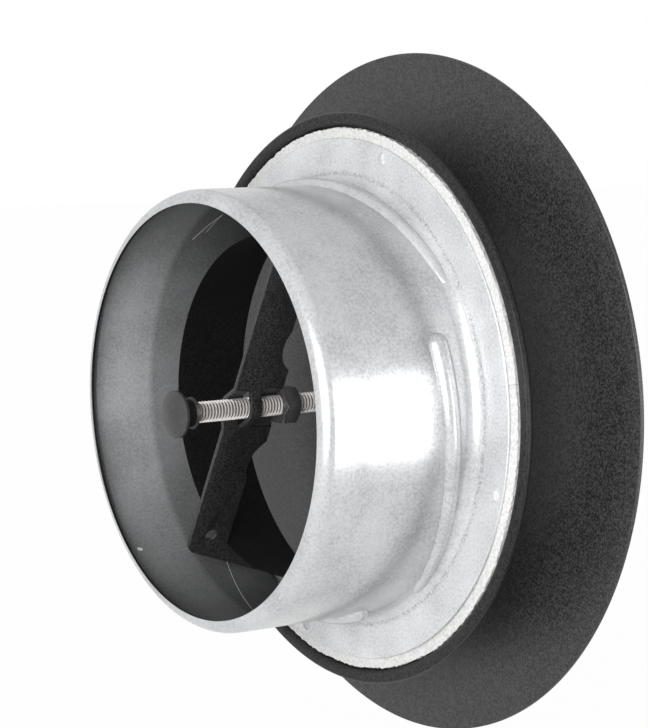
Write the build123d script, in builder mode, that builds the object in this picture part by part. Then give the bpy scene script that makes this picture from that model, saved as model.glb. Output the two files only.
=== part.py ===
"""Ventilation disc valve for a round duct: mounting collar, valve ring, bridge bar and front disc.

Frame: the origin is the centre of the screw circle, on the back of the collar's flange, where it
meets the wall. +Y points into the room along the valve's axis, and +Z points up.
Angles are in degrees about the axis, from +X towards +Z. All lengths are in millimetres.
"""
from math import cos, radians, sin, sqrt
import os

from build123d import *

# Mounting collar, drawn from galvanised sheet
collar_sheet = 0.7
spigot_diameter = 123.5
spigot_draft = 0.1
spigot_length = 50.0
lip_width = 3.95
flange_width = 13.25
flange_fillet = 4.5
screw_count = 4
screw_inset = 3.0
screw_hole = 3.5
screw_angle = 74.5

# Bayonet beads, pressed outward from the spigot, tapering towards the flange
bead_count = 4
bead_angle = 20.0
bead_sweep = 73.0
bead_back = -10.3
bead_front = -1.1
bead_curve = 0.46
bead_radius = 3.4
bead_height = 2.4
bead_end_radius = 2.1
bead_end_height = 1.3
bead_points = 8

# Valve ring with its conical throat, drawn from coated sheet
ring_sheet = 1.0
ring_overhang = 7.3
ring_back = 0.2
lip_corner = 2.7
lip_bend = 1.8
throat_gap = 13.05
throat_back = -25.8
mouth_gap = 1.55
mouth_front = 5.6
mouth_bend = 5.0

# Foam seal
seal_inset = 4.25
seal_overhang = 3.0
seal_gap = 0.3

# Bridge bar
bar_sheet = 1.2
bar_angle = 62.0
bar_back = -39.4
bar_front = -23.2
bar_corner = 3.5
bar_hole = 3.8
bar_hole_inset = 3.4
bar_hole_back = -32.7
notch_near = 12.2
notch_far = 25.0
notch_depth = 4.0
strap_reach = 6.6
strap_ends = (bar_back, -34.3, -30.6, bar_front)
strap_slit = 0.3
bar_play = 0.1
arm_width = 6.15
arm_play = 0.85
arm_end = 2.6
lug_radius = 1.3

# Threaded rod, nuts and cap
rod_diameter = 5.9
rod_back = -57.0
rod_clearance = 0.08
nut_flats = 10.0
nut_height = 5.0
nut_chamfer = 0.7
nut_gap = 0.1
cap_head_diameter = 13.2
cap_head_edge = 0.8
cap_crown = 1.5
cap_neck_diameter = 7.8
cap_neck_length = 5.2
cap_foot = 0.6
cap_play = 0.05
cap_depth = 6.0

# Front disc
disc_diameter = 198.2
disc_sheet = 1.3
disc_back = 25.0
disc_edge = 0.4
boss_diameter = 14.0
boss_height = 8.0
boss_edge = 1.0
rod_end_gap = 0.3

spigot_radius = spigot_diameter / 2
spigot_bore = spigot_radius - collar_sheet
lip_radius = spigot_radius - lip_width
flange_radius = spigot_radius + flange_width
rod_radius = rod_diameter / 2
thread_bore = rod_radius + rod_clearance
bead_zone = bead_back - bead_radius - spigot_draft

os.makedirs("parts", exist_ok=True)


def across(y, turn=0.0):
    """The plane across the axis at y, facing the room, with its x axis at the angle turn."""
    return Plane(origin=(0, y, 0), x_dir=(cos(radians(turn)), 0, sin(radians(turn))), z_dir=(0, 1, 0))


def save(part, name):
    """Labels a finished part and writes it to its own file."""
    part.label = name
    export_step(part, f"parts/{name}.step")


def bead_place(part):
    """The place on the axis of a bead's middle line, at this part of its sweep."""
    return bead_back + (bead_front - bead_back) * part * (1 - bead_curve * (1 - part))


# Bead tools: a round section that shrinks along a climbing curve, with a ball at each end
def bead_tools(inset):
    """One tool for each bead, this far inside its outer skin."""
    points = []
    for step in range(bead_points + 1):
        part = step / bead_points
        radius = bead_radius + (bead_end_radius - bead_radius) * part
        height = bead_height + (bead_end_height - bead_height) * part
        plane = across(bead_place(part), bead_angle - bead_sweep * part)
        points.append(plane.from_local_coords((spigot_radius + height - radius, 0, 0)))
    path = Spline(*points)
    with BuildPart() as tool:
        for part in (0, 0.5, 1):
            with BuildSketch(Plane(origin=path @ part, z_dir=path % part)):
                Circle(bead_radius + (bead_end_radius - bead_radius) * part - inset)
        sweep(path=path, multisection=True)
        with Locations(path @ 0):
            Sphere(bead_radius - inset)
        with Locations(path @ 1):
            Sphere(bead_end_radius - inset)
    return [tool.part.rotate(Axis.Y, 360 / bead_count * turn) for turn in range(bead_count)]


outer_beads = bead_tools(0)
inner_beads = bead_tools(collar_sheet)


# Collar: the outer form with its beads, less the bore, which follows one sheet thickness inside
with BuildPart() as mounting_collar:
    with BuildSketch(Plane.XY):
        with BuildLine():
            lip = FilletPolyline(
                (lip_radius, -spigot_length),
                (spigot_radius, -spigot_length),
                (spigot_radius, bead_zone),
                (spigot_radius + spigot_draft, 0),
                (flange_radius, 0),
                radius=[lip_width - 0.01, 0, flange_fillet],
            )
            Polyline(
                lip @ 1,
                (flange_radius, collar_sheet),
                (0, collar_sheet),
                (0, -spigot_length),
                lip @ 0,
            )
        make_face()
    revolve(axis=Axis.Y)
    add(outer_beads)
    with BuildSketch(Plane.XY):
        with BuildLine():
            bore = FilletPolyline(
                (lip_radius, -spigot_length + collar_sheet),
                (spigot_bore, -spigot_length + collar_sheet),
                (spigot_bore, bead_zone),
                (spigot_bore + spigot_draft, collar_sheet),
                (spigot_radius + flange_fillet, collar_sheet),
                radius=[lip_width - collar_sheet - 0.01, 0, flange_fillet],
            )
            Polyline(
                bore @ 1,
                (spigot_radius + flange_fillet, 2 * flange_fillet),
                (0, 2 * flange_fillet),
                (0, -spigot_length - collar_sheet),
                (lip_radius, -spigot_length - collar_sheet),
                bore @ 0,
            )
        make_face()
    revolve(axis=Axis.Y, mode=Mode.SUBTRACT)
    add(inner_beads, mode=Mode.SUBTRACT)
    with BuildSketch(across(0, screw_angle)):
        with PolarLocations(flange_radius - screw_inset, screw_count):
            Circle(screw_hole / 2)
    extrude(amount=collar_sheet, mode=Mode.SUBTRACT)

save(mounting_collar.part, "mounting_collar")

# Valve ring: one sheet from the throat's free end, out over the mouth and back to the lip
throat_middle = spigot_bore - throat_gap - ring_sheet / 2
mouth_radius = spigot_bore - mouth_gap
lip_middle = flange_radius + ring_overhang - ring_sheet / 2
with BuildPart() as valve_ring:
    with BuildSketch(Plane.XY):
        with BuildLine():
            FilletPolyline(
                (throat_middle, throat_back),
                (mouth_radius, mouth_front),
                (lip_middle, lip_corner),
                (lip_middle, ring_back),
                radius=[mouth_bend, lip_bend],
            )
        trace(line_width=ring_sheet)
    revolve(axis=Axis.Y)

save(valve_ring.part, "valve_ring")

# Slopes of the sheet on either side of the mouth, which the bar's arms and the seal follow
cone_slope = (mouth_radius - throat_middle) / (mouth_front - throat_back)
throat_edge = throat_back - ring_sheet / 2 * cone_slope / sqrt(1 + cone_slope**2)
face_slope = (mouth_front - lip_corner) / (lip_middle - mouth_radius)


def cone_outside(y):
    """The radius of the throat's outer skin at y."""
    return throat_middle + cone_slope * (y - throat_back) + ring_sheet / 2 * sqrt(1 + cone_slope**2)


def face_behind(radius):
    """The height of the ring's back skin at this radius."""
    return mouth_front - face_slope * (radius - mouth_radius) - ring_sheet / 2 * sqrt(1 + face_slope**2)


# Foam seal: a strip pressed to a wedge between the flange and the ring
with BuildPart() as seal_ring:
    seal_back = collar_sheet + seal_gap
    seal_inner = spigot_radius + seal_inset
    seal_outer = flange_radius + seal_overhang
    with BuildSketch(Plane.XY):
        with BuildLine():
            Polyline(
                (seal_inner, seal_back),
                (seal_outer, seal_back),
                (seal_outer, face_behind(seal_outer) - seal_gap),
                (seal_inner, face_behind(seal_inner) - seal_gap),
                close=True,
            )
        make_face()
    revolve(axis=Axis.Y)

save(seal_ring.part, "seal_ring")

# Bridge bar: it stands on edge, and its local y axis is the valve's axis
bar_plane = Plane(
    origin=(0, 0, 0),
    x_dir=(cos(radians(bar_angle)), 0, sin(radians(bar_angle))),
    z_dir=(-sin(radians(bar_angle)), 0, cos(radians(bar_angle))),
)
lug_height = bead_place((bead_angle + 360 / bead_count - bar_angle) / bead_sweep)
arm_front = lug_height + arm_end
seat = throat_edge - bar_play
arm_reach = spigot_bore - arm_play
bar_corner_point = (cone_outside(bar_back) + arm_width, bar_back)
flare_front = bar_back + (arm_reach - bar_corner_point[0]) / cone_slope


def strap(back, front, side):
    """One strap that bulges round the rod, between two places on the axis, to the side given."""
    bend = thread_bore + bar_sheet / 2
    touch_reach = bend**2 / strap_reach
    touch_rise = sqrt(bend**2 - touch_reach**2)
    with BuildPart() as loop:
        with BuildSketch(across(back, bar_angle)):
            with BuildLine():
                Line((-strap_reach, 0), (-touch_reach, side * touch_rise))
                ThreePointArc(
                    (-touch_reach, side * touch_rise),
                    (0, side * bend),
                    (touch_reach, side * touch_rise),
                )
                Line((touch_reach, side * touch_rise), (strap_reach, 0))
            trace(line_width=bar_sheet)
        extrude(amount=front - back)
    return loop.part


straps = []
for number, side in enumerate((-1, 1, -1)):
    back = strap_ends[number]
    front = strap_ends[number + 1]
    if number < 2:
        front -= strap_slit
    straps.append(strap(back, front, side))

with BuildPart() as bridge_bar:
    with BuildSketch(bar_plane):
        with BuildLine():
            Line((strap_reach, bar_back), bar_corner_point)
            Line(bar_corner_point, (arm_reach, flare_front))
            Line((arm_reach, flare_front), (arm_reach, lug_height - lug_radius))
            ThreePointArc(
                (arm_reach, lug_height - lug_radius),
                (arm_reach + lug_radius, lug_height),
                (arm_reach, lug_height + lug_radius),
            )
            Polyline(
                (arm_reach, lug_height + lug_radius),
                (arm_reach, arm_front),
                (cone_outside(arm_front) + bar_play, arm_front),
                (cone_outside(seat) + bar_play, seat),
                (notch_far, seat),
            )
            ThreePointArc(
                (notch_far, seat),
                ((notch_near + notch_far) / 2, bar_front - notch_depth),
                (notch_near, bar_front),
            )
            Polyline((notch_near, bar_front), (strap_reach, bar_front), (strap_reach, bar_back))
        make_face()
        corner = vertices().sort_by_distance(bar_corner_point)[0]
        fillet(corner, radius=bar_corner)
        with Locations((throat_middle - bar_hole_inset, bar_hole_back)):
            Circle(bar_hole / 2, mode=Mode.SUBTRACT)
        mirror(about=Plane.YZ)
    extrude(amount=bar_sheet / 2, both=True)
    add(straps)

save(bridge_bar.part, "bridge_bar")

# Threaded rod, from inside the cap to just short of the disc; its thread is left to the finish
with BuildPart() as threaded_rod:
    with BuildSketch(across(rod_back)):
        Circle(rod_radius)
    extrude(amount=disc_back - rod_end_gap - rod_back)
    chamfer(threaded_rod.edges().filter_by(GeomType.CIRCLE), length=cap_foot)

save(threaded_rod.part, "threaded_rod")


def hexagon_nut(back):
    """A chamfered hexagon nut whose back face is at this place on the axis."""
    with BuildPart() as nut:
        with BuildSketch(across(back)):
            RegularPolygon(radius=nut_flats / 2, side_count=6, major_radius=False)
        extrude(amount=nut_height)
        with BuildSketch(Plane.XY):
            with BuildLine():
                Polyline(
                    (0, back),
                    (nut_flats / 2, back),
                    (nut_flats / 2 + 2 * nut_chamfer, back + nut_chamfer),
                    (nut_flats / 2 + 2 * nut_chamfer, back + nut_height - nut_chamfer),
                    (nut_flats / 2, back + nut_height),
                    (0, back + nut_height),
                    close=True,
                )
            make_face()
        revolve(axis=Axis.Y, mode=Mode.INTERSECT)
        with BuildSketch(across(back)):
            Circle(thread_bore)
        extrude(amount=nut_height, mode=Mode.SUBTRACT)
        mouths = nut.edges().filter_by(GeomType.CIRCLE).filter_by(
            lambda edge: abs(edge.radius - thread_bore) < rod_clearance
        )
        chamfer(mouths, length=nut_chamfer / 2)
    return nut.part


save(hexagon_nut(bar_front + nut_gap), "lock_nut")

# Rod cap: a domed head on a neck that is pushed over the rod's back end
cap_head_back = rod_back + cap_depth - cap_neck_length
with BuildPart() as rod_cap:
    with BuildSketch(Plane.XY):
        with BuildLine():
            head_radius = cap_head_diameter / 2
            neck_radius = cap_neck_diameter / 2
            head_top = cap_head_back - cap_head_edge
            TangentArc((0, head_top - cap_crown), (head_radius, head_top), tangent=(1, 0))
            Polyline(
                (head_radius, head_top),
                (head_radius, cap_head_back),
                (neck_radius, cap_head_back),
                (neck_radius, cap_head_back + cap_neck_length - 2 * cap_foot),
                (neck_radius + cap_foot, cap_head_back + cap_neck_length - cap_foot),
                (neck_radius, cap_head_back + cap_neck_length),
                (rod_radius + cap_play, cap_head_back + cap_neck_length),
                (rod_radius + cap_play, rod_back),
                (0, rod_back),
                (0, head_top - cap_crown),
            )
        make_face()
    revolve(axis=Axis.Y)

save(rod_cap.part, "rod_cap")

# Front disc: plain coated sheet with its rim eased
with BuildPart() as front_disc:
    with BuildSketch(across(disc_back)):
        Circle(disc_diameter / 2)
    extrude(amount=disc_sheet)
    fillet(front_disc.edges(), radius=disc_edge)

save(front_disc.part, "front_disc")

# Boss on the disc's back, bored for the rod
with BuildPart() as disc_boss:
    with BuildSketch(across(disc_back - boss_height)):
        Circle(boss_diameter / 2)
        Circle(thread_bore, mode=Mode.SUBTRACT)
    extrude(amount=boss_height)
    rim = disc_boss.edges().filter_by(GeomType.CIRCLE).group_by(Axis.Y)[0].sort_by(SortBy.RADIUS)[-1]
    chamfer(rim, length=boss_edge)

save(disc_boss.part, "disc_boss")

save(hexagon_nut(disc_back - boss_height - nut_height), "disc_nut")
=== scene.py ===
"""Looks of a ventilation disc valve: galvanised collar, foam seal, powder-coated ring, bar and disc."""

from math import atan2, cos, hypot, pi, radians, sin, tan, tau

import bmesh
import bpy
from bpy.props import FloatProperty, FloatVectorProperty, IntProperty, PointerProperty
from mathutils import Matrix, Vector, noise


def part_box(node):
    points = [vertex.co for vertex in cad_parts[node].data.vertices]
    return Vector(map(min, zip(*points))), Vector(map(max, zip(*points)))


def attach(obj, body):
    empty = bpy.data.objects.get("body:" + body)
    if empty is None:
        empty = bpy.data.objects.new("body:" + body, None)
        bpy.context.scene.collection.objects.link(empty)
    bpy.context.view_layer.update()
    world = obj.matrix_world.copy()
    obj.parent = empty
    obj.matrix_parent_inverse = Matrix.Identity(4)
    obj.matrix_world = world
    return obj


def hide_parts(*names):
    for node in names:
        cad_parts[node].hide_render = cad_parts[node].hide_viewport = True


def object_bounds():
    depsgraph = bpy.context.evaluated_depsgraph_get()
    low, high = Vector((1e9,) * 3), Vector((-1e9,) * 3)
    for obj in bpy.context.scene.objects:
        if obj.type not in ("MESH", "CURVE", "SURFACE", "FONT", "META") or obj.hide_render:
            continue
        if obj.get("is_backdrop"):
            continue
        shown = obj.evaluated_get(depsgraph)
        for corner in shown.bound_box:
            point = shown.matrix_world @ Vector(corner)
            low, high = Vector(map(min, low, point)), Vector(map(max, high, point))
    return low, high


bl_info = {
    "name": "Disc valve dresser",
    "version": (1, 0, 0),
    "blender": (4, 5, 0),
    "location": "3D View > Sidebar > Disc valve",
    "description": "Adds the sheet metal, foam, thread, coats and studio of a ventilation disc valve",
    "category": "Object",
}

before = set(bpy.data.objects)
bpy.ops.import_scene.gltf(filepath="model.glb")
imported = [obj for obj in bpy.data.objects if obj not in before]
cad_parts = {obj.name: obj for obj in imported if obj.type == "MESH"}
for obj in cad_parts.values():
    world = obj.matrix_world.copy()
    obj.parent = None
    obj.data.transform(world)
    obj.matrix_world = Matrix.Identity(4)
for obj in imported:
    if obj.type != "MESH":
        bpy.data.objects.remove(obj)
MM = 0.001
AXIS = Vector((0, 1, 0))

# The gap behind the frame's foam, the length of its cap's neck, and the depth of a thread for its pitch
SEAL_GAP = 0.3 * MM
CAP_NECK = 5.25 * MM
THREAD_DEPTH = 0.6134

# Faces round the axis
TURN_STEPS = 360
FOAM_STEPS = 1200

# Noise grains: scale, softness and depth of the bumps
CRAZE = (2300.0, 0.8, 0.3 * MM)
PEEL = (1900.0, 0.75, 0.08 * MM)
CELLS = (1100.0, 0.7, 0.15 * MM)
SKIN = (900.0, 0.5, 0.03 * MM)

# The share of specks in the galvanised sheet's grain, and the sheet's tones as (position, amount) stops: of
# the grain; of painted shade from the spigot out over the fillet to the flange, darker on the spigot; and of
# painted shade on the inner wall from the lip inward and from its middle height up and down. Then the tones
# of its scratches and of its cut edge, which is raw and painted near black as shadow under the lip, and that
# edge's width
SPECK_SHARE = 0.6
ZINC_TONES = ((0.38, 0.76), (0.5, 1.0), (0.62, 1.16))
SPIGOT_SHADE_TONES = ((0.3, 0.9), (0.9, 1.03))
INWARD_SHADE_TONES = ((0.0, 0.62), (0.2, 0.78), (0.38, 0.74), (0.43, 0.46), (0.8, 0.36))
UPWARD_SHADE_TONES = ((0.1, 1.0), (0.4, 0.85), (0.95, 0.4))
SCRATCH_TONE = (0.9, 0.9, 0.9, 1)
CUT_RAW_AND_SHADOW_TONE = 0.06
CUT_WIDTH = 0.18 * MM

# The crazed fillet, and the sheet's finish from the spigot out over the fillet to the flange
CRACK_TONES = ((0.4, 0.5), (0.5, 1.0))
CRAZED_BAND = ((0.56, 0.0), (0.66, 1.0), (0.8, 1.0), (0.95, 0.0))
CRAZE_STRENGTH = ((0.5, 0.0), (0.65, 0.7), (0.8, 0.7), (1.0, 0.08))
ZINC_ROUGHNESS = ((0.5, 0.26), (1.0, 0.42))
ZINC_METAL = ((0.0, 0.7), (0.9, 0.4))
INNER_METAL = 0.15

# Tones of the other materials, by their grain; of a thread from its roots to its crests, with painted shade
# in the roots; and of the cap's neck, painted shade
COAT_TONES = ((0.42, 0.3), (0.6, 2.3))
FOAM_TONES = ((0.36, 0.78), (0.58, 1.0))
STEEL_TONES = ((0.35, 0.8), (0.65, 1.0))
ROOT_SHADE_TONES = ((0.0, 0.12), (0.4, 1.0))
CAP_TONES = ((0.35, 0.8), (0.65, 1.2))
NECK_SHADE_TONE = 0.12

# The camera's directions and place, the lamps, the card and the floor, in metres and watts
CAMERA_RIGHT = Vector((0.57707, 0.81665, -0.00516))
CAMERA_UP = Vector((-0.08641, 0.06734, 0.99396))
CAMERA_PLACE = Vector((0.5855, -0.4199, 0.0895))
KEY = {"side": 0.6, "power": 11.5, "place": (0.62, -0.78, 0.1), "target": (0, 0, 0)}
BAND = {"side": 0.2, "power": 0.42, "place": (0.285, 0.133, -0.02), "target": (0.05, -0.03, 0)}
CARD_HALVES = (0.72, 0.35)
CARD_PLACE = (-0.17, 0.5, 0.6)
FLOOR_HALF = 3.0
FLOOR_TONE = 0.9
FLOOR_WHITE = 0.98


def node_edge(node, corner, axis):
    """One side of a node's box in metres: corner 0 is the lowest, 1 the highest."""
    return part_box(node)[corner][axis]


def colour(name, description, rgb):
    """A setting that holds a colour."""
    return FloatVectorProperty(
        name=name, description=description, default=rgb, subtype="COLOR", size=3, min=0, max=1
    )


def length(name, description, metres):
    """A setting that holds a length."""
    return FloatProperty(name=name, description=description, default=metres, unit="LENGTH", precision=5)


def factor(name, description, value):
    """A setting from 0 to 1."""
    return FloatProperty(
        name=name, description=description, default=value, subtype="FACTOR", min=0, max=1
    )


def number(name, description, value):
    """A plain setting, such as an angle in degrees."""
    return FloatProperty(name=name, description=description, default=value)


class CollarSettings(bpy.types.PropertyGroup):
    """Sizes and finish of the galvanised collar"""

    sheet: length("Sheet", "Thickness of the galvanised sheet", 0.7 * MM)
    spigot_radius: length("Spigot radius", "Outside radius of the spigot", 61.75 * MM)
    lip_radius: length("Lip radius", "Radius of the spigot's cut edge", 57.8 * MM)
    fillet: length("Flange fillet", "Radius between the spigot and the flange", 4.5 * MM)
    screw_circle: length("Screw circle", "Radius of the circle of screw holes", 72.0 * MM)
    screw_hole: length("Screw hole", "Diameter of a screw hole", 3.5 * MM)
    screw_count: IntProperty(name="Screws", description="Number of screw holes", default=4)
    screw_angle: number("Screw angle", "Degrees to a hole", 74.5)
    bead_height: length("Bead height", "How far a bead stands out at its deep end", 2.4 * MM)
    bead_radius: length("Bead radius", "Radius of a bead's section at its deep end", 3.4 * MM)
    bead_end_height: length("Bead end height", "How far a bead stands out at its front", 1.3 * MM)
    bead_end_radius: length("Bead end radius", "Radius of a bead's section at its front", 2.1 * MM)
    bead_count: IntProperty(name="Beads", description="Number of bayonet beads", default=4)
    bead_angle: number("Bead angle", "Degrees to a deep end", 20.0)
    bead_sweep: number("Bead sweep", "Degrees that a bead runs", 73.0)
    bead_deep: length("Bead deep end", "Place of a bead's deep end on the axis", -10.3 * MM)
    bead_shallow: length("Bead front end", "Place of a bead's front end on the axis", -1.1 * MM)
    bead_curve: factor("Bead curve", "How much of a bead's climb comes late", 0.46)
    zinc: colour("Zinc", "Colour of the galvanised sheet", (0.63, 0.64, 0.65))

    def wall(self):
        """Radius of the middle of the spigot's sheet."""
        return self.spigot_radius - self.sheet / 2

    def bend(self):
        """Outer radius of the turn from the spigot to its cut edge."""
        return self.spigot_radius - self.lip_radius

    def marks(self):
        """Scratches and a fleck on the inner wall: arc and depth of both ends, and half the width."""
        for first, last, half in (
            ((132.5, -24.6), (120.5, -20.6), 0.12),
            ((129.1, -21.4), (121.0, -20.7), 0.08),
            ((-132.5, -44.4), (-132.3, -43.8), 0.55),
            ((-123.9, -18.4), (-99.2, -25.3), 0.07),
        ):
            ends = [(radians(turn) * self.wall(), place * MM) for turn, place in (first, last)]
            yield ends[0], ends[1], half * MM


class CoatingSettings(bpy.types.PropertyGroup):
    """Sizes and finish of the powder-coated pieces"""

    coat: colour("Coat", "Colour of the powder coat", (0.020, 0.020, 0.021))
    roughness: factor("Roughness", "Roughness of the powder coat", 0.42)
    sheen: factor("Sheen", "Specular level of the powder coat", 0.5)
    # The ring's coat is a darker copy of the black coat: painted shade for the ring beside the disc
    ring_shade_coat: colour("Ring coat", "Colour of the ring's duller coat", (0.013, 0.013, 0.0135))
    ring_sheen: factor("Ring sheen", "Specular level of the ring's coat", 0.22)
    edge: length("Edge", "Width of the eased edge of the coated bar", 0.15 * MM)
    disc_edge: length("Disc edge", "Radius of the disc's rounded edge", 0.4 * MM)
    sheet: length("Sheet", "Thickness of the ring's sheet", 1.0 * MM)
    throat_radius: length("Throat radius", "Radius of the throat's free end", 47.5 * MM)
    throat_end: length("Throat end", "From that end's outer corner to its middle", 0.2 * MM)
    mouth_radius: length("Mouth radius", "Radius where the throat turns to the face", 59.5 * MM)
    mouth_front: length("Mouth front", "Place of that turn on the axis", 5.6 * MM)
    mouth_bend: length("Mouth bend", "Radius of that turn", 5.0 * MM)
    lip_radius: length("Lip radius", "Radius of the turned-back lip", 81.8 * MM)
    lip_corner: length("Lip corner", "Place of the lip's turn on the axis", 2.7 * MM)
    lip_bend: length("Lip bend", "Radius of the lip's turn", 1.8 * MM)
    hem: length("Hem", "Width of the rolled rim", 4.0 * MM)
    rim_corner: length("Rim corner", "Radius of the rim's outer corner", 0.8 * MM)
    ring_back: length("Lip back", "Place of the lip's free edge on the axis", 0.2 * MM)


class SealSettings(bpy.types.PropertyGroup):
    """Size and finish of the foam seal"""

    foam: colour("Foam", "Colour of the foam", (0.74, 0.74, 0.73))
    grain: length("Grain", "Depth of the foam's torn edge", 0.5 * MM)
    seat: length("Seat", "Clearance between the foam and the flange", 0.06 * MM)
    sag: length("Sag", "Gap between them where the foam is loose", 0.8 * MM)
    sag_angle: number("Sag angle", "Degrees to the loose stretch", -52)
    sag_sweep: number("Sag sweep", "Degrees from its middle to its end", 30)
    inner_radius: length("Inner radius", "Radius of the foam ring's hole", 66.0 * MM)
    outer_front: length("Outer front", "Front of the foam at its outer edge", 2.4 * MM)
    join: length("Join", "Gap where the strip's ends meet", 0.1 * MM)
    join_angle: number("Join angle", "Degrees to the ends", 8.3)


class RodSettings(bpy.types.PropertyGroup):
    """Thread and finish of the rod, its nuts and its cap"""

    pitch: length("Pitch", "Pitch of the rod's thread", 1.0 * MM)
    steel: colour("Steel", "Colour of the plated steel", (0.95, 0.91, 0.88))
    nut: colour("Nut", "Colour of the passivated nuts", (0.12, 0.12, 0.125))
    edge: length("Edge", "Width of the eased edges of the nuts", 0.2 * MM)
    cap: colour("Cap", "Colour of the plastic cap", (0.034, 0.034, 0.036))


class StageSettings(bpy.types.PropertyGroup):
    """Camera, world, floor and card"""

    lens: number("Lens", "Focal length in millimetres", 139.88)
    floor: colour("Floor", "Colour of the floor in the camera's view", (1.0, 1.0, 1.0))
    card: colour("Card", "Colour of the card over the valve", (0.82, 0.82, 0.82))
    ambient: number("Ambient", "Strength of the world's light", 0.36)


# Nodes


def feed(tree, made, values):
    """Links or sets a node's inputs."""
    for key, value in values.items():
        if isinstance(value, bpy.types.NodeSocket):
            tree.links.new(value, made.inputs[key])
        else:
            made.inputs[key].default_value = value


def node(tree, kind, inputs, **settings):
    """A new node with its settings and its inputs."""
    made = tree.nodes.new(kind)
    for key, value in settings.items():
        setattr(made, key, value)
    feed(tree, made, inputs)
    return made


def calculated(tree, operation, *values, **settings):
    """The result of a math node."""
    inputs = dict(enumerate(values))
    return node(tree, "ShaderNodeMath", inputs, operation=operation, **settings).outputs[0]


def split(tree, place):
    """The X, Y and Z of a place."""
    return node(tree, "ShaderNodeSeparateXYZ", {"Vector": place}).outputs


def joined(tree, **parts):
    """A vector of its named parts, with 0 for the others."""
    return node(tree, "ShaderNodeCombineXYZ", parts).outputs[0]


def spread(tree, value, low, high):
    """0 to 1 as the value goes from low to high."""
    inputs = {"Value": value, "From Min": low, "From Max": high}
    return node(tree, "ShaderNodeMapRange", inputs).outputs["Result"]


def mixed(tree, share, first, second, **settings):
    """The first value, turning to the second as the share goes from 0 to 1."""
    inputs = {"Factor": share, "A": first, "B": second}
    return node(tree, "ShaderNodeMix", inputs, **settings).outputs["Result"]


def blended(tree, share, first, second):
    """The first colour, turning to the second as the share goes from 0 to 1."""
    return mixed(tree, share, first, second, data_type="RGBA")


def times(tree, tone, amount):
    """A colour times another colour or a mask."""
    return mixed(tree, 1.0, tone, amount, data_type="RGBA", blend_type="MULTIPLY")


def opaque(rgb, amount=1.0):
    """An amount of a colour, with its alpha."""
    return (*(channel * amount for channel in rgb), 1)


def ramp(tree, value, stops, rgb=(1, 1, 1)):
    """A ramp between (position, amount) stops, in amounts of a colour or of white."""
    made = node(tree, "ShaderNodeValToRGB", {"Fac": value})
    elements = made.color_ramp.elements
    while len(elements) < len(stops):
        elements.new(0.5)
    for element, (position, amount) in zip(elements, stops):
        element.position = position
        element.color = opaque(rgb, amount)
    return made.outputs["Color"]


def noisy(tree, place, scale, detail, roughness=0.5):
    """Plain noise at a place."""
    inputs = {"Vector": place, "Scale": scale, "Detail": detail, "Roughness": roughness}
    return node(tree, "ShaderNodeTexNoise", inputs).outputs["Fac"]


def reach(tree, place):
    """The distance from the valve's axis, in metres."""
    parts = split(tree, place)
    flat = joined(tree, X=parts["X"], Z=parts["Z"])
    return node(tree, "ShaderNodeVectorMath", {"Vector": flat}, operation="LENGTH").outputs["Value"]


def unrolled(tree, place, radius):
    """A place on a wall of this radius, as its arc and its depth."""
    parts = split(tree, place)
    turn = calculated(tree, "ARCTAN2", parts["Z"], parts["X"])
    return joined(tree, X=calculated(tree, "MULTIPLY", turn, radius), Y=parts["Y"])


def grouped(tree, name, make, inputs):
    """A node that holds a shared group, which is made for its first use."""
    group = bpy.data.node_groups.get(name) or make(name)
    return node(tree, "ShaderNodeGroup", inputs, node_tree=group)


def grain_group(name):
    """Fine grain: a mask of noise at one size, and a normal that it bumps."""
    group = bpy.data.node_groups.new(name, "ShaderNodeTree")
    group.interface.new_socket("Vector", in_out="INPUT", socket_type="NodeSocketVector")
    for key, value in (("Scale", 1000.0), ("Softness", 0.5), ("Depth", 0.05 * MM), ("Strength", 1.0)):
        socket = group.interface.new_socket(key, in_out="INPUT", socket_type="NodeSocketFloat")
        socket.default_value = value
    group.interface.new_socket("Mask", in_out="OUTPUT", socket_type="NodeSocketFloat")
    group.interface.new_socket("Normal", in_out="OUTPUT", socket_type="NodeSocketVector")
    given = group.nodes.new("NodeGroupInput").outputs
    inputs = {"Vector": given["Vector"], "Scale": given["Scale"], "Roughness": given["Softness"]}
    cells = node(group, "ShaderNodeTexNoise", inputs).outputs["Fac"]
    inputs = {"Distance": given["Depth"], "Height": cells, "Strength": given["Strength"]}
    bump = node(group, "ShaderNodeBump", inputs).outputs["Normal"]
    node(group, "NodeGroupOutput", {"Mask": cells, "Normal": bump})
    return group


def grain(tree, place, scale, softness, depth):
    """Fine grain over a piece, with a mask and a normal."""
    inputs = {"Vector": place, "Scale": scale, "Softness": softness, "Depth": depth}
    return grouped(tree, "fine_grain", grain_group, inputs)


def mark_group(name):
    """A straight mark of this width from one place to another: 1 on it and 0 beside it."""
    group = bpy.data.node_groups.new(name, "ShaderNodeTree")
    for key in ("Vector", "Start", "End"):
        group.interface.new_socket(key, in_out="INPUT", socket_type="NodeSocketVector")
    group.interface.new_socket("Width", in_out="INPUT", socket_type="NodeSocketFloat")
    group.interface.new_socket("Mask", in_out="OUTPUT", socket_type="NodeSocketFloat")
    given = group.nodes.new("NodeGroupInput").outputs

    def vector(operation, first, second, key=1):
        inputs = {0: first, key: second}
        return node(group, "ShaderNodeVectorMath", inputs, operation=operation).outputs

    line = vector("SUBTRACT", given["End"], given["Start"])["Vector"]
    offset = vector("SUBTRACT", given["Vector"], given["Start"])["Vector"]
    reached = vector("DOT_PRODUCT", offset, line)["Value"]
    whole = vector("DOT_PRODUCT", line, line)["Value"]
    part = calculated(group, "DIVIDE", reached, whole, use_clamp=True)
    near = vector("SCALE", line, part, key="Scale")["Vector"]
    gap = vector("DISTANCE", offset, near)["Value"]
    mask = calculated(group, "LESS_THAN", gap, given["Width"])
    node(group, "NodeGroupOutput", {"Mask": mask})
    return group


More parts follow.
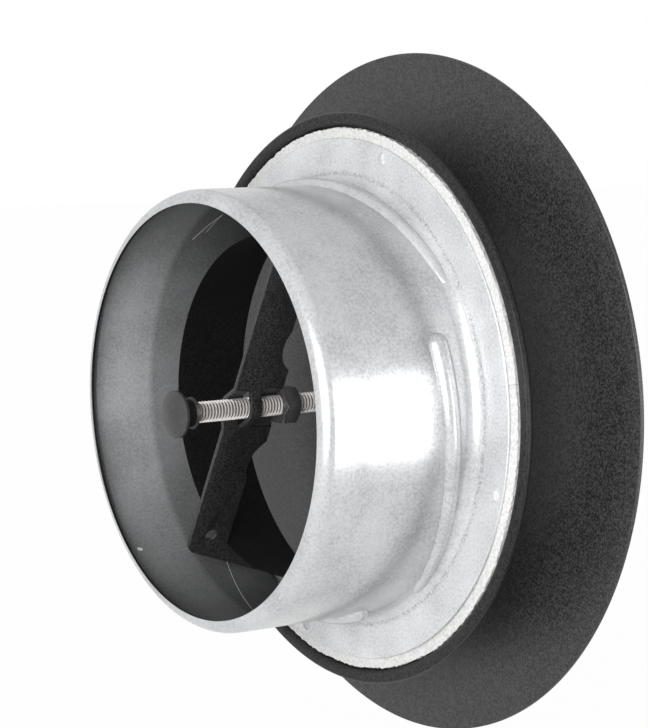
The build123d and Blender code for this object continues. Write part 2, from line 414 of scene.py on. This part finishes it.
def mark(tree, place, start, end, width):
    """A mask of one straight mark."""
    inputs = {"Vector": place, "Start": (*start, 0), "End": (*end, 0), "Width": width}
    return grouped(tree, "mark", mark_group, inputs).outputs["Mask"]


# Materials


def new_material(name):
    """A new material with its node tree and its shader."""
    material = bpy.data.materials.new(name)
    material.use_nodes = True
    tree = material.node_tree
    return material, tree, tree.nodes["Principled BSDF"]


def local_place(tree):
    """A point's place on its piece, which the piece takes along when it moves."""
    return tree.nodes.new("ShaderNodeTexCoord").outputs["Object"]


def inner_wall(tree, place, radius, settings):
    """A mask of the spigot's inner wall, and the painted shade on the wall: darker deeper in and towards its
    top and bottom.
    """
    parts = split(tree, place)
    wall = settings.wall()
    lip = node_edge("mounting_collar", 0, 1) + wall - settings.lip_radius
    hollow = calculated(tree, "LESS_THAN", radius, wall)
    deep = calculated(tree, "GREATER_THAN", parts["Y"], lip)
    inside = calculated(tree, "MULTIPLY", hollow, deep)
    inward_shade = ramp(tree, spread(tree, parts["Y"], lip, 0.0), INWARD_SHADE_TONES)
    height = calculated(tree, "ABSOLUTE", parts["Z"])
    upward_shade = ramp(tree, spread(tree, height, 0.0, wall), UPWARD_SHADE_TONES)
    return inside, times(tree, inward_shade, upward_shade)


def wall_marks(tree, place, settings):
    """A mask of all the small marks on the inner wall."""
    wide = unrolled(tree, place, settings.wall())
    mask = 0.0
    for start, end, width in settings.marks():
        mask = calculated(tree, "MAXIMUM", mask, mark(tree, wide, start, end, width))
    return mask


def zinc_material(settings):
    """Galvanised sheet: fine grain, matt flange, crazed fillet, marked inside and raw where it is cut, with
    painted shade on the spigot and the inner wall and a painted shadow on the cut edge.
    """
    material, tree, shader = new_material("galvanised_sheet")
    place = local_place(tree)
    radius = reach(tree, place)
    away = spread(tree, radius, settings.spigot_radius, settings.spigot_radius + settings.fillet)

    clouds = noisy(tree, place, scale=60.0, detail=3.0)
    specks = noisy(tree, place, scale=1300.0, detail=3.0, roughness=0.7)
    tone = ramp(tree, mixed(tree, SPECK_SHARE, clouds, specks), ZINC_TONES, settings.zinc)
    # Painted shade on the inner wall: darker deeper in and towards its top and bottom
    inside, wall_shade = inner_wall(tree, place, radius, settings)
    # The spigot painted a little darker than the flange as painted shade, then the inner wall's painted
    # shade
    tone = times(tree, tone, blended(tree, inside, ramp(tree, away, SPIGOT_SHADE_TONES), wall_shade))
    marked = calculated(tree, "MULTIPLY", wall_marks(tree, place, settings), inside)
    tone = blended(tree, marked, tone, SCRATCH_TONE)
    # The cut edge: raw steel, painted near black as the shadow in the corner under the lip
    cut = calculated(tree, "LESS_THAN", radius, settings.lip_radius + CUT_WIDTH)
    tone = blended(tree, cut, tone, opaque(settings.zinc, CUT_RAW_AND_SHADOW_TONE))

    craze = grain(tree, place, *CRAZE)
    feed(tree, craze, {"Strength": ramp(tree, away, CRAZE_STRENGTH)})
    cracked = times(tree, tone, ramp(tree, craze.outputs["Mask"], CRACK_TONES))
    values = {
        "Base Color": blended(tree, ramp(tree, away, CRAZED_BAND), tone, cracked),
        "Roughness": ramp(tree, away, ZINC_ROUGHNESS),
        "Metallic": mixed(tree, inside, ramp(tree, away, ZINC_METAL), INNER_METAL),
        "Normal": craze.outputs["Normal"],
    }
    feed(tree, shader, values)
    return material


def grainy_material(name, kind, stops, rgb, finish):
    """A material whose one grain gives it both its tones and its bumps."""
    material, tree, shader = new_material(name)
    fine = grain(tree, local_place(tree), *kind)
    tone = ramp(tree, fine.outputs["Mask"], stops, rgb)
    feed(tree, shader, {"Base Color": tone, "Normal": fine.outputs["Normal"], **finish})
    return material


def coat_material(name, settings, coat, sheen):
    """Powder coat: black with the fine grain of its cured powder."""
    finish = {"Roughness": settings.roughness, "Specular IOR Level": sheen}
    return grainy_material(name, PEEL, COAT_TONES, coat, finish)


def foam_material(settings):
    """Pale foam with open cells."""
    return grainy_material("foam", CELLS, FOAM_TONES, settings.foam, {"Roughness": 0.95})


def steel_material(name, tone, roots=None):
    """Plated steel with slight wear, and painted shade in a thread's roots where their two radii are given.
    """
    material, tree, shader = new_material(name)
    place = local_place(tree)
    worn = ramp(tree, noisy(tree, place, scale=250.0, detail=4.0), STEEL_TONES, tone)
    if roots:
        # Painted shade in the thread's roots
        height = spread(tree, reach(tree, place), *roots)
        worn = times(tree, worn, ramp(tree, height, ROOT_SHADE_TONES))
    feed(tree, shader, {"Base Color": worn, "Metallic": 0.6, "Roughness": 0.2})
    return material


def cap_material(settings, neck):
    """Black plastic, grainy on the head and painted near black on the neck as painted shade; the neck starts
    at this place.
    """
    material, tree, shader = new_material("black_plastic")
    place = local_place(tree)
    skin = grain(tree, place, *SKIN)
    head_grain = ramp(tree, skin.outputs["Mask"], CAP_TONES, settings.cap)
    # The neck painted much darker than the head, as painted shade
    shaded_neck = calculated(tree, "GREATER_THAN", split(tree, place)["Y"], neck)
    tone = blended(tree, shaded_neck, head_grain, opaque(settings.cap, NECK_SHADE_TONE))
    feed(tree, shader, {"Base Color": tone, "Normal": skin.outputs["Normal"], "Roughness": 0.5})
    return material


# Outlines, as points of (radius, place on the axis) in metres


def stepped(start, end, gap):
    """Numbers from start to end, about a gap apart."""
    count = max(1, round(abs(end - start) / gap))
    return [start + (end - start) * step / count for step in range(count + 1)]


def arc(centre, radius, start, end, steps):
    """Points on an arc between two angles in degrees."""
    points = []
    for step in range(steps + 1):
        angle = radians(start + (end - start) * step / steps)
        points.append(Vector(centre) + radius * Vector((cos(angle), sin(angle))))
    return points


def rounded(points, radii, steps):
    """The points of a profile with its inner corners rounded to the radii, where 0 leaves one."""
    path = [Vector(points[0])]
    for before, corner, after, radius in zip(points, points[1:], points[2:], radii):
        corner = Vector(corner)
        if not radius:
            path.append(corner)
            continue
        back = (Vector(before) - corner).normalized()
        on = (Vector(after) - corner).normalized()
        half = back.angle(on) / 2
        centre = corner + (back + on).normalized() * radius / sin(half)
        first = corner + back * radius / tan(half) - centre
        last = corner + on * radius / tan(half) - centre
        swing = first.angle_signed(last)
        for step in range(steps + 1):
            path.append(centre + Matrix.Rotation(-swing * step / steps, 2) @ first)
    path.append(Vector(points[-1]))
    return path


def sheet(path, thickness):
    """The closed outline of a sheet whose middle follows the path."""
    sides = ([], [])
    for index, point in enumerate(path):
        before, after = path[max(index - 1, 0)], path[min(index + 1, len(path) - 1)]
        along = (after - before).normalized()
        across = Vector((-along.y, along.x)) * thickness / 2
        sides[0].append(point + across)
        sides[1].append(point - across)
    return sides[0] + sides[1][::-1]


def collar_outside(settings):
    """The closed outline of the collar as a solid, without its bore."""
    outer, fillet, bend = settings.spigot_radius, settings.fillet, settings.bend()
    back = node_edge("mounting_collar", 0, 1)
    rim, front = node_edge("mounting_collar", 1, 0), settings.sheet
    ease = 0.15 * MM
    outline = [Vector((0, back))]
    outline += arc((outer - bend, back + bend), bend, start=-90, end=0, steps=10)
    outline += [Vector((outer, y)) for y in stepped(back + bend, -fillet, gap=3 * MM)[1:-1]]
    outline += arc((outer + fillet, -fillet), fillet, start=180, end=90, steps=12)
    outline += [Vector((rim - ease, 0)), Vector((rim, ease)), Vector((rim, front - ease))]
    outline += [Vector((rim - ease, front)), Vector((0, front))]
    return outline


def collar_bore(settings):
    """The closed outline of the bore, one sheet inside the collar's outside and open at both ends."""
    outer, fillet, bend = settings.spigot_radius, settings.fillet, settings.bend()
    lip, front = settings.lip_radius, settings.sheet
    back = node_edge("mounting_collar", 0, 1)
    beyond = 5 * MM
    ease = 0.12 * MM
    outline = [Vector((0, back - beyond)), Vector((lip + ease, back - beyond)), Vector((lip + ease, back))]
    outline += [Vector((lip, back + ease)), Vector((lip, back + settings.sheet))]
    outline += arc((lip, back + bend), bend - settings.sheet, start=-90, end=0, steps=8)[1:]
    outline += arc((outer + fillet, -fillet), fillet + settings.sheet, start=180, end=90, steps=12)
    outline += [Vector((outer + fillet, front + beyond)), Vector((0, front + beyond))]
    return outline


def rolled(outline, settings):
    """Closes the ring's turned-back lip: a small corner outside, and a round hem inside it."""
    outer = settings.lip_radius + settings.sheet / 2
    corner, round_hem, back = settings.rim_corner, settings.hem / 2, settings.ring_back
    half = len(outline) // 2
    rim = [point for point in outline[:half] if point.y >= back + corner]
    rim += arc((outer - corner, back + corner), corner, start=0, end=-90, steps=8)
    rim += arc((outer - round_hem, back + round_hem), round_hem, start=-90, end=-180, steps=12)
    return rim + [point for point in outline[half:] if point.x < outer - settings.hem]


def seal_section(settings, back, outer, front):
    """The closed outline of the foam, in fine steps on the sides that are torn or loose."""
    fine, coarse = 0.7 * MM, 4 * MM
    inner, outer_front = settings.inner_radius, settings.outer_front
    outline = [Vector((radius, back)) for radius in stepped(inner, outer, fine)]
    outline += [Vector((outer, y)) for y in stepped(back, outer_front, fine)[1:]]
    for radius in stepped(outer, inner, coarse)[1:]:
        y = outer_front + (front - outer_front) * (outer - radius) / (outer - inner)
        outline.append(Vector((radius, y)))
    return outline


# Meshes


def spun(profile, steps, turn=tau):
    """A bmesh from a closed outline, spun round the axis."""
    mesh = bmesh.new()
    points = [mesh.verts.new((radius, y, 0)) for radius, y in profile]
    edges = [mesh.edges.new(pair) for pair in zip(points, points[1:] + points[:1])]
    whole = turn == tau
    bmesh.ops.spin(
        mesh,
        geom=points + edges,
        cent=(0, 0, 0),
        axis=AXIS,
        angle=turn,
        steps=steps,
        use_merge=whole,
    )
    bmesh.ops.remove_doubles(mesh, verts=mesh.verts, dist=1e-7)
    if not whole:
        bmesh.ops.holes_fill(mesh, edges=[edge for edge in mesh.edges if edge.is_boundary])
    bmesh.ops.recalc_face_normals(mesh, faces=mesh.faces)
    return mesh


def node_copy(name):
    """A bmesh of a frame's node, with the triangles of each flat face merged."""
    mesh = bmesh.new()
    mesh.from_mesh(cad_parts[name].data)
    bmesh.ops.remove_doubles(mesh, verts=mesh.verts, dist=1e-6)
    bmesh.ops.dissolve_limit(
        mesh, angle_limit=radians(0.5), verts=mesh.verts, edges=mesh.edges, use_dissolve_boundaries=False
    )
    return mesh


def eased(mesh, width, sharper=35):
    """Bevels every edge of the mesh that is sharper than this many degrees."""
    sharp = [edge for edge in mesh.edges if edge.is_manifold and edge.calc_face_angle() > radians(sharper)]
    bmesh.ops.bevel(
        mesh,
        geom=sharp,
        offset=width,
        affect="EDGES",
        segments=2,
        profile=0.5,
        material=-1,
        clamp_overlap=True,
    )
    return mesh


def linked(name, data):
    """A new object with this data, in the scene."""
    made = bpy.data.objects.new(name, data)
    bpy.context.collection.objects.link(made)
    return made


def new_object(name, mesh):
    """A new object in the scene from a bmesh, which is freed."""
    data = bpy.data.meshes.new(name)
    mesh.to_mesh(data)
    mesh.free()
    return linked(name, data)


def smoothed(data, sharper):
    """Shades a mesh smooth, but for the edges that are sharper than this many degrees."""
    data.shade_smooth()
    data.set_sharp_from_angle(angle=radians(sharper))


def piece(name, mesh, material, body, node_name, sharper=35):
    """Turns a finished bmesh into an object that rides on a body and stands in for a node."""
    made = new_object(name, mesh)
    made.data.materials.append(material)
    smoothed(made.data, sharper)
    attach(made, body)
    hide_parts(node_name)
    return made


def combine(made, other, operation):
    """Adds another bmesh to a finished piece, or takes it out."""
    tool = new_object("tool", other)
    boolean = made.modifiers.new("combine", "BOOLEAN")
    boolean.operation = operation
    boolean.solver = "MANIFOLD"
    boolean.object = tool
    graph = bpy.context.evaluated_depsgraph_get()
    whole = bpy.data.meshes.new_from_object(made.evaluated_get(graph), depsgraph=graph)
    made.modifiers.clear()
    before = made.data
    made.data = whole
    bpy.data.meshes.remove(before)
    bpy.data.objects.remove(tool)


def dress(name, material):
    """Gives a node that is kept its material."""
    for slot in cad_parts[name].material_slots:
        slot.material = material


def bead_forms(settings, inset, rings=72, segments=32):
    """The round bodies of all the beads, inset from their outer skin, tapering and with ball ends."""
    mesh = bmesh.new()
    sweep = radians(settings.bead_sweep)
    # Stations: the part of the run, how far ahead of it in radii, and how wide
    quarter = [pi / 18 * step for step in range(1, 9)]
    stations = [(0.0, -cos(angle), sin(angle)) for angle in quarter]
    stations += [(step / rings, 0.0, 1.0) for step in range(rings + 1)]
    stations += [(1.0, sin(angle), cos(angle)) for angle in quarter]

    def middle(part, turn):
        """Centre and radius of a bead's section at this part of its run."""
        angle = radians(settings.bead_angle) + tau * turn / settings.bead_count - sweep * part
        size = settings.bead_radius + (settings.bead_end_radius - settings.bead_radius) * part
        height = settings.bead_height + (settings.bead_end_height - settings.bead_height) * part
        climb = part * (1 - settings.bead_curve * (1 - part))
        y = settings.bead_deep + (settings.bead_shallow - settings.bead_deep) * climb
        out = settings.spigot_radius + height - size
        return Vector((out * cos(angle), y, out * sin(angle))), size - inset

    def section(turn, part, along, wide):
        """The round of verts at one station of a bead."""
        centre, size = middle(part, turn)
        ahead = (middle(part + 0.01, turn)[0] - middle(part - 0.01, turn)[0]).normalized()
        out = Vector((centre.x, 0, centre.z)).normalized()
        side = ahead.cross(out).normalized()
        out = side.cross(ahead)
        centre = centre + ahead * along * size
        loop = []
        for index in range(segments):
            angle = tau * index / segments
            loop.append(mesh.verts.new(centre + (out * cos(angle) + side * sin(angle)) * wide * size))
        return loop

    for turn in range(settings.bead_count):
        loops = [section(turn, *station) for station in stations]
        for before, after in zip(loops, loops[1:]):
            for index in range(segments):
                beside = (index + 1) % segments
                mesh.faces.new((before[index], before[beside], after[beside], after[index]))
        mesh.faces.new(loops[0][::-1])
        mesh.faces.new(loops[-1])
    bmesh.ops.recalc_face_normals(mesh, faces=mesh.faces)
    return mesh


def screw_holes(settings):
    """Round cutters through the flange, on the screw circle."""
    cutters = bmesh.new()
    for turn in range(settings.screw_count):
        angle = radians(settings.screw_angle) + tau * turn / settings.screw_count
        place = Vector((cos(angle), 0, sin(angle))) * settings.screw_circle
        bmesh.ops.create_cone(
            cutters,
            cap_ends=True,
            segments=48,
            radius1=settings.screw_hole / 2,
            radius2=settings.screw_hole / 2,
            depth=10 * MM,
            matrix=Matrix.Translation(place) @ Matrix.Rotation(pi / 2, 4, "X"),
        )
    return cutters


def torn(ring, settings, back, outer):
    """Frays the foam's outer edge, roughens its back, and lets its loose stretch hang off the flange."""
    # Noise cells to the metre, and how far from the back and the outer edge a vert still belongs to them
    wave, fray = 90, 900
    back_zone, edge_zone = 0.1 * MM, 0.3 * MM
    for vert in ring.verts:
        wide = noise.noise(vert.co * wave)
        fine = noise.noise(vert.co * fray)
        out = Vector((vert.co.x, 0, vert.co.z)).normalized()
        radius = hypot(vert.co.x, vert.co.z)
        if vert.co.y < back + back_zone:
            turn = atan2(vert.co.z, vert.co.x) - radians(settings.sag_angle)
            loose = 1 - (turn / radians(settings.sag_sweep)) ** 2
            vert.co.y += settings.sag * max(0, loose) + settings.grain * max(0, 0.3 * fine)
        if radius > outer - edge_zone:
            vert.co += out * settings.grain * (0.5 * wide + 0.9 * fine - 0.3)


def threaded(back, front, major, pitch, steps=32):
    """A rod with a thread of this pitch between two places on the axis."""
    minor = major - THREAD_DEPTH * pitch
    # One turn of the thread, as places in pitches and radii
    section = ((0.0, minor), (0.12, minor), (0.44, major), (0.56, major), (0.88, minor))
    # The thread starts 1.5 turns before the rod and runs on past it, and both ends are cut off
    turns = int((front - back) / pitch) + 3
    mesh = bmesh.new()
    rows = []
    for step in range(steps * turns + 1):
        angle = tau * step / steps
        base = back + pitch * (step / steps - 1.5)
        row = []
        for along, radius in section:
            row.append(mesh.verts.new((radius * cos(angle), base + along * pitch, radius * sin(angle))))
        rows.append(row)
    for step in range(steps * turns):
        here, beside = rows[step], rows[step + 1]
        for index in range(len(section) - 1):
            mesh.faces.new((here[index], here[index + 1], beside[index + 1], beside[index]))
        if step + steps + 1 < len(rows):
            above, across = rows[step + steps][0], rows[step + steps + 1][0]
            mesh.faces.new((here[-1], above, across, beside[-1]))
    for place, side in ((back, -1), (front, 1)):
        whole = list(mesh.verts) + list(mesh.edges) + list(mesh.faces)
        cut_through = bmesh.ops.bisect_plane(
            mesh,
            geom=whole,
            plane_co=AXIS * place,
            plane_no=AXIS * side,
            clear_outer=True,
        )["geom_cut"]
        rim = [edge for edge in cut_through if isinstance(edge, bmesh.types.BMEdge)]
        bmesh.ops.edgeloop_fill(mesh, edges=rim)
    bmesh.ops.recalc_face_normals(mesh, faces=mesh.faces)
    return mesh


# Operators for the pieces


class DISCVALVE_OT_collar(bpy.types.Operator):
    """Make the galvanised collar with its beads and screw holes"""

    bl_idname = "discvalve.collar"
    bl_label = "Collar"

    def execute(self, context):
        settings = context.scene.discvalve_collar
        solid = spun(collar_outside(settings), TURN_STEPS)
        zinc = zinc_material(settings)
        collar = piece("collar", solid, zinc, "collar", "mounting_collar")
        combine(collar, bead_forms(settings, inset=0.0), "UNION")
        combine(collar, spun(collar_bore(settings), TURN_STEPS), "DIFFERENCE")
        combine(collar, bead_forms(settings, inset=settings.sheet), "DIFFERENCE")
        combine(collar, screw_holes(settings), "DIFFERENCE")
        collar.data.name = "collar"
        smoothed(collar.data, sharper=24)
        return {"FINISHED"}


class DISCVALVE_OT_coated(bpy.types.Operator):
    """Make the powder-coated ring, bar and disc"""

    bl_idname = "discvalve.coated"
    bl_label = "Coated pieces"

    def execute(self, context):
        settings = context.scene.discvalve_coating
        coat = coat_material("black_coating", settings, settings.coat, settings.sheen)
        # A darker copy of the coat for the ring, as painted shade
        shaded_coat = coat_material("ring_coating", settings, settings.ring_shade_coat, settings.ring_sheen)
        points = (
            (settings.throat_radius, node_edge("valve_ring", 0, 1) + settings.throat_end),
            (settings.mouth_radius, settings.mouth_front),
            (settings.lip_radius, settings.lip_corner),
            (settings.lip_radius, settings.ring_back),
        )
        path = rounded(points, (settings.mouth_bend, settings.lip_bend), steps=10)
        ring = spun(rolled(sheet(path, settings.sheet), settings), TURN_STEPS)
        piece("ring", ring, shaded_coat, "valve", "valve_ring")

        back, front = node_edge("front_disc", 0, 1), node_edge("front_disc", 1, 1)
        edge = node_edge("front_disc", 1, 0)
        points = ((0, back), (edge / 2, back), (edge, back), (edge, front), (edge / 2, front), (0, front))
        outline = rounded(points, (0, settings.disc_edge, settings.disc_edge, 0), steps=4)
        piece("disc", spun(outline, TURN_STEPS), coat, "disc", "front_disc")

        bar = eased(node_copy("bridge_bar"), settings.edge)
        piece("bar", bar, coat, "valve", "bridge_bar")
        return {"FINISHED"}


class DISCVALVE_OT_seal(bpy.types.Operator):
    """Make the foam strip that is bent to a ring"""

    bl_idname = "discvalve.seal"
    bl_label = "Seal"

    def execute(self, context):
        settings = context.scene.discvalve_seal
        low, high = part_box("seal_ring")
        back, outer, front = low[1] - SEAL_GAP + settings.seat, high[0], high[1]
        ring = spun(seal_section(settings, back, outer, front), FOAM_STEPS, tau - settings.join / outer)
        turned = Matrix.Rotation(-radians(settings.join_angle), 4, AXIS)
        bmesh.ops.rotate(ring, cent=(0, 0, 0), matrix=turned.to_3x3(), verts=ring.verts)
        torn(ring, settings, back, outer)
        foam = piece("seal", ring, foam_material(settings), "seal", "seal_ring", sharper=60)
        return {"FINISHED"}


class DISCVALVE_OT_rod(bpy.types.Operator):
    """Make the rod's thread and the nuts, and give the boss and the cap their materials"""

    bl_idname = "discvalve.rod"
    bl_label = "Rod"

    def execute(self, context):
        settings = context.scene.discvalve_rod
        low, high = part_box("threaded_rod")
        major = high[0]
        roots = (major - THREAD_DEPTH * settings.pitch, major)
        steel = steel_material("zinc_steel", settings.steel, roots)
        dark = steel_material("dark_steel", settings.nut)
        thread = threaded(low[1], high[1], major, settings.pitch)
        piece("thread", thread, steel, "rod", "threaded_rod", sharper=50)
        for name, body in (("lock_nut", "nut"), ("disc_nut", "disc")):
            nut = eased(node_copy(name), settings.edge)
            piece(name + "_eased", nut, dark, body, name)
        dress("disc_boss", dark)
        dress("rod_cap", cap_material(settings, node_edge("rod_cap", 1, 1) - CAP_NECK))
        return {"FINISHED"}


# Stage


def seen_directly(tree):
    """1 for rays from the camera and off gloss, which see the plain white of the studio."""
    path = tree.nodes.new("ShaderNodeLightPath").outputs
    return calculated(tree, "MAXIMUM", path["Is Camera Ray"], path["Is Glossy Ray"])


def show(tree, output, share, lit, white):
    """Puts out a mix of two shaders: white by this share, and lit for the rest."""
    inputs = {"Fac": share, 1: lit.outputs[0], 2: white.outputs[0]}
    mix = node(tree, "ShaderNodeMixShader", inputs)
    tree.links.new(mix.outputs[0], tree.nodes[output].inputs["Surface"])


def look_along(right, up, place):
    """The matrix of something at place whose local x is right and local y is up."""
    back = right.cross(up).normalized()
    turned = Matrix((right, up, back)).transposed().to_4x4()
    return Matrix.Translation(place) @ turned


def lamp(name, side, power, place, target):
    """A square lamp that points at its target."""
    data = bpy.data.lights.new(name, "AREA")
    data.shape = "RECTANGLE"
    data.size = data.size_y = side
    data.energy = power
    made = linked(name, data)
    made.location = place
    made.rotation_euler = (Vector(target) - Vector(place)).to_track_quat("-Z", "Y").to_euler()
    return made


def level(name, halves, centre, material):
    """A level rectangle with half its sides and its centre given."""
    mesh = bmesh.new()
    bmesh.ops.create_grid(mesh, x_segments=1, y_segments=1, size=1.0)
    for vert in mesh.verts:
        vert.co = Vector((halves[0] * vert.co.x, halves[1] * vert.co.y, 0)) + Vector(centre)
    made = new_object(name, mesh)
    made.data.materials.append(material)
    return made


class DISCVALVE_OT_stage(bpy.types.Operator):
    """Make the world, the floor, the card, the camera and the lamps"""

    bl_idname = "discvalve.stage"
    bl_label = "Stage"

    def execute(self, context):
        settings = context.scene.discvalve_stage
        context.scene.view_settings.view_transform = "Standard"
        self.world(context, settings)
        self.floor(settings)
        self.card(settings)
        self.camera(context, settings)
        lamp("key", **KEY)
        band = lamp("band", **BAND)
        band.visible_diffuse = False
        return {"FINISHED"}

    def world(self, context, settings):
        """A soft light from all round, which the camera and gloss see as white."""
        world = bpy.data.worlds.new("studio")
        world.use_nodes = True
        context.scene.world = world
        tree = world.node_tree
        light = tree.nodes["Background"]
        feed(tree, light, {"Color": opaque((1, 1, 1)), "Strength": settings.ambient})
        white = node(tree, "ShaderNodeBackground", {"Color": opaque((1, 1, 1)), "Strength": 1.0})
        show(tree, "World Output", seen_directly(tree), light, white)

    def camera(self, context, settings):
        """The view from the duct's side."""
        data = bpy.data.cameras.new("camera")
        data.sensor_fit = "HORIZONTAL"
        data.sensor_width = 36.0
        data.lens = settings.lens
        camera = linked("camera", data)
        camera.matrix_world = look_along(CAMERA_RIGHT, CAMERA_UP, CAMERA_PLACE)
        context.scene.camera = camera

    def card(self, settings):
        """A grey card over the valve, seen only in gloss, that darkens the spigot's upper side."""
        material, tree, _ = new_material("card")
        grey = node(tree, "ShaderNodeEmission", {"Color": opaque(settings.card), "Strength": 1.0})
        tree.links.new(grey.outputs[0], tree.nodes["Material Output"].inputs["Surface"])
        made = level("card", CARD_HALVES, CARD_PLACE, material)
        made.visible_camera = False
        made.visible_diffuse = False
        made.visible_shadow = False
        made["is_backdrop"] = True

    def floor(self, settings):
        """A plain pale floor, under the lowest point of the valve."""
        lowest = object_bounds()[0][2]
        material, tree, shader = new_material("floor")
        feed(tree, shader, {"Base Color": opaque(settings.floor, FLOOR_TONE), "Roughness": 0.9})
        white = node(tree, "ShaderNodeEmission", {"Color": opaque(settings.floor), "Strength": 1.0})
        share = calculated(tree, "MULTIPLY", seen_directly(tree), FLOOR_WHITE)
        show(tree, "Material Output", share, shader, white)
        made = level("floor", (FLOOR_HALF, FLOOR_HALF), (0, 0, lowest), material)
        made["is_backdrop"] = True


OPERATORS = (
    DISCVALVE_OT_collar,
    DISCVALVE_OT_coated,
    DISCVALVE_OT_seal,
    DISCVALVE_OT_rod,
    DISCVALVE_OT_stage,
)
SETTINGS = {
    "discvalve_collar": CollarSettings,
    "discvalve_coating": CoatingSettings,
    "discvalve_seal": SealSettings,
    "discvalve_rod": RodSettings,
    "discvalve_stage": StageSettings,
}


class DISCVALVE_PT_panel(bpy.types.Panel):
    """Lists the valve's settings and operators"""

    bl_label = "Disc valve"
    bl_idname = "DISCVALVE_PT_panel"
    bl_space_type = "VIEW_3D"
    bl_region_type = "UI"
    bl_category = "Disc valve"

    def draw(self, context):
        for name, operator in zip(SETTINGS, OPERATORS):
            box = self.layout.box()
            box.label(text=operator.bl_label)
            for key in getattr(context.scene, name).__annotations__:
                box.prop(getattr(context.scene, name), key)
            box.operator(operator.bl_idname)


def register():
    for group in SETTINGS.values():
        bpy.utils.register_class(group)
    for name, group in SETTINGS.items():
        setattr(bpy.types.Scene, name, PointerProperty(type=group))
    for operator in OPERATORS:
        bpy.utils.register_class(operator)
    bpy.utils.register_class(DISCVALVE_PT_panel)


def unregister():
    bpy.utils.unregister_class(DISCVALVE_PT_panel)
    for operator in reversed(OPERATORS):
        bpy.utils.unregister_class(operator)
    for name in SETTINGS:
        delattr(bpy.types.Scene, name)
    for group in SETTINGS.values():
        bpy.utils.unregister_class(group)


def main():
    """Dresses the frame."""
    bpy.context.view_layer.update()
    register()
    for operator in OPERATORS:
        group, name = operator.bl_idname.split(".")
        getattr(getattr(bpy.ops, group), name)()


if __name__ == "__main__":
    main()
